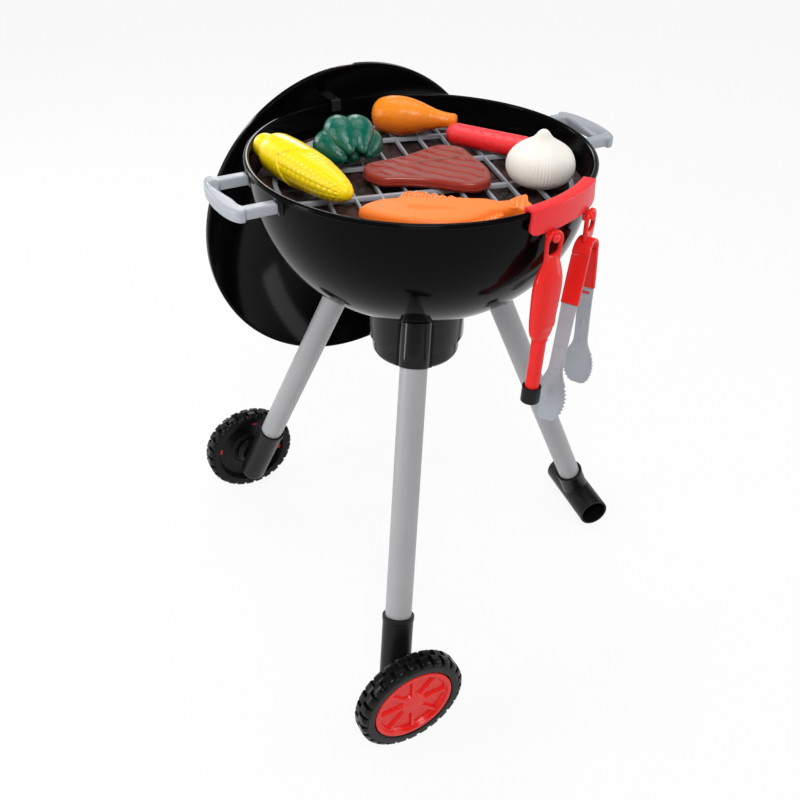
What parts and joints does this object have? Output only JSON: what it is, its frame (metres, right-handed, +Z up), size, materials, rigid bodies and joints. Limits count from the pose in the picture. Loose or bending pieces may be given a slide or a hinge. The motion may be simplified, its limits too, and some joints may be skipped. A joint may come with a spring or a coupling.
{
  "type": "toy barbecue grill",
  "caption": "Toy kettle barbecue on a wheeled three-leg stand, with a hanging lid, side handles, a cooking grate, play food and a rack of hanging toy tools.",
  "frame": {"origin": "on the floor, in the middle of the bounding box; the bowl's axis stands 38 mm towards -X and 22 mm towards -Y of it", "axes": "+Z up along the bowl's axis; -Y towards the side with the tool rack; +Y towards the side where the lid hangs; +X towards the foot with no wheel"},
  "size_m": [0.5186, 0.5552, 0.6123],
  "materials": {
    "gloss_black": "glossy black",
    "satin_black": "satin black",
    "leg_grey": "smooth mid grey",
    "silver_grey": "silver-grey, semi-gloss",
    "tool_red": "bright red, glossy",
    "rack_red": "pinkish red, glossy",
    "coal_brown": "dark brown moulded coals",
    "steel": "bare steel",
    "corn_yellow": "yellow",
    "drumstick_orange": "orange",
    "sausage_red": "red",
    "pepper_green": "dark green, shiny",
    "garlic_white": "off-white",
    "steak_brown": "red-brown",
    "fish_orange": "orange"
  },
  "bodies": {
    "stand": {"bowl": "gloss_black", "coal_tray": "coal_brown", "drum_collar": "gloss_black", "drum_cup": "gloss_black", "front_leg_socket": "gloss_black", "front_leg": "leg_grey", "front_leg_sleeve": "satin_black", "front_axle": "steel", "front_push_nut": "steel", "rear_leg_socket": "gloss_black", "rear_leg": "leg_grey", "rear_leg_sleeve": "satin_black", "rear_axle": "steel", "rear_push_nut": "steel", "right_leg_socket": "gloss_black", "right_leg": "leg_grey", "tee_foot": "satin_black", "right_handle": "silver_grey", "right_handle_boss_front": "gloss_black", "right_handle_boss_back": "gloss_black", "left_handle": "silver_grey", "left_handle_boss_front": "gloss_black", "left_handle_boss_back": "gloss_black"},
    "front_wheel": {"front_wheel": "satin_black", "front_hub_cap": "tool_red"},
    "rear_wheel": {"rear_wheel": "satin_black", "rear_hub_cap": "tool_red"},
    "grate": {"cooking_grate": "silver_grey"},
    "corn": {"corn": "corn_yellow"},
    "pepper": {"pepper": "pepper_green"},
    "drumstick": {"drumstick": "drumstick_orange"},
    "sausage": {"sausage": "sausage_red"},
    "garlic": {"garlic": "garlic_white"},
    "steak": {"steak": "steak_brown"},
    "fish": {"fish": "fish_orange"},
    "rack": {"tool_rack": "rack_red"},
    "lighter": {"lighter_grip": "tool_red", "lighter_barrel": "tool_red", "lighter_cap": "satin_black"},
    "trigger": {"lighter_trigger": "tool_red"},
    "tongs": {"tongs_crown": "tool_red"},
    "tongs_left_arm": {"tongs_grip_left": "tool_red", "tongs_arm_left": "silver_grey"},
    "tongs_right_arm": {"tongs_grip_right": "tool_red", "tongs_arm_right": "silver_grey"},
    "lid": {"lid": "gloss_black", "lid_handle": "silver_grey", "lid_hook": "satin_black"}
  },
  "joints": [
    {"name": "front_wheel_spin", "type": "hinge", "parent": "stand", "child": "front_wheel", "pos_m": [-0.17425, -0.26565, 0.0625], "axis": [0, 1, 0], "continuous": true},
    {"name": "rear_wheel_spin", "type": "hinge", "parent": "stand", "child": "rear_wheel", "pos_m": [-0.17425, 0.22235, 0.0625], "axis": [0, 1, 0], "continuous": true},
    {"name": "grate_lift", "type": "slide", "parent": "stand", "child": "grate", "axis": [0, 0, 1], "range_m": [0, 0.06]},
    {"name": "corn_lift", "type": "slide", "parent": "grate", "child": "corn", "axis": [0, 0, 1], "range_m": [0, 0.05]},
    {"name": "pepper_lift", "type": "slide", "parent": "grate", "child": "pepper", "axis": [0, 0, 1], "range_m": [0, 0.05]},
    {"name": "drumstick_lift", "type": "slide", "parent": "grate", "child": "drumstick", "axis": [0, 0, 1], "range_m": [0, 0.05]},
    {"name": "sausage_lift", "type": "slide", "parent": "grate", "child": "sausage", "axis": [0, 0, 1], "range_m": [0, 0.05]},
    {"name": "garlic_lift", "type": "slide", "parent": "grate", "child": "garlic", "axis": [0, 0, 1], "range_m": [0, 0.05]},
    {"name": "steak_lift", "type": "slide", "parent": "grate", "child": "steak", "axis": [0, 0, 1], "range_m": [0, 0.05]},
    {"name": "fish_lift", "type": "slide", "parent": "grate", "child": "fish", "axis": [0, 0, 1], "range_m": [0, 0.05]},
    {"name": "rack_lift", "type": "slide", "parent": "stand", "child": "rack", "axis": [0, 0, 1], "range_m": [0, 0.03]},
    {"name": "lighter_swing", "type": "hinge", "parent": "rack", "child": "lighter", "pos_m": [-0.00091, -0.20303, 0.548], "axis": [0.1994, -0.9799, 0], "range_deg": [-25, 3]},
    {"name": "trigger_press", "type": "slide", "parent": "lighter", "child": "trigger", "axis": [-0.979, -0.1992, 0.0436], "range_m": [0, 0.003], "stiffness_N_per_m": 150},
    {"name": "tongs_swing", "type": "hinge", "parent": "rack", "child": "tongs", "pos_m": [0.05752, -0.18031, 0.548], "axis": [0.515, -0.8572, 0], "range_deg": [-2, 25]},
    {"name": "tongs_left_squeeze", "type": "hinge", "parent": "tongs", "child": "tongs_left_arm", "pos_m": [0.04741, -0.18639, 0.5122], "axis": [0.515, -0.8572, 0], "range_deg": [0, 11], "stiffness_Nm_per_rad": 0.4},
    {"name": "tongs_right_squeeze", "type": "hinge", "parent": "tongs", "child": "tongs_right_arm", "pos_m": [0.06764, -0.17424, 0.5122], "axis": [0.515, -0.8572, 0], "range_deg": [-11, 0], "stiffness_Nm_per_rad": 0.4},
    {"name": "lid_lift", "type": "slide", "parent": "stand", "child": "lid", "axis": [0, 0, 1], "range_m": [0, 0.12]}
  ],
  "couplings": [
    {"joint": "tongs_right_squeeze", "follows": "tongs_left_squeeze", "ratio": -1}
  ]
}
